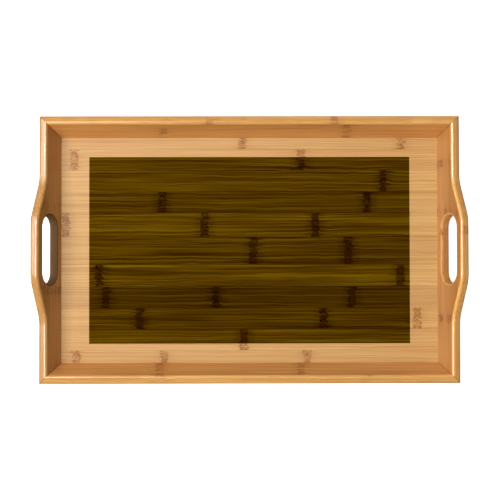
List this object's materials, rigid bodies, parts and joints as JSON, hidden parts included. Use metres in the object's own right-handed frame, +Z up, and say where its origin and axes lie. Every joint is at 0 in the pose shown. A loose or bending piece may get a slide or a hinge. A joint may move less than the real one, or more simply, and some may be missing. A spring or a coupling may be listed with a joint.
{
  "type": "serving tray",
  "caption": "Rectangular bamboo serving tray with flared mitred walls, rising ends with rounded hand slots, and a glued strip floor with a dark olive printed panel.",
  "frame": {"origin": "on the table under the middle of the tray", "axes": "+X along the length, +Y from the front long wall to the rear one, +Z up"},
  "size_m": [0.4498, 0.2768, 0.0468],
  "materials": {
    "wall_bamboo": "satin lacquer",
    "floor_bamboo": "satin lacquer",
    "print_film": "translucent olive ink under satin lacquer",
    "tongue_bamboo": "raw",
    "brad_steel": "bright drawn"
  },
  "bodies": {
    "root": {"rear_wall": "wall_bamboo", "front_wall": "wall_bamboo", "right_end_wall": "wall_bamboo", "left_end_wall": "wall_bamboo", "base_strip_01": "floor_bamboo", "base_strip_02": "floor_bamboo", "base_strip_03": "floor_bamboo", "base_strip_04": "floor_bamboo", "base_strip_05": "floor_bamboo", "base_strip_06": "floor_bamboo", "base_strip_07": "floor_bamboo", "base_strip_08": "floor_bamboo", "base_strip_09": "floor_bamboo", "base_strip_10": "floor_bamboo", "base_strip_11": "floor_bamboo", "print_film": "print_film", "tongue_rear_right": "tongue_bamboo", "tongue_rear_left": "tongue_bamboo", "tongue_front_left": "tongue_bamboo", "tongue_front_right": "tongue_bamboo", "corner_brads": "brad_steel"}
  },
  "joints": []
}
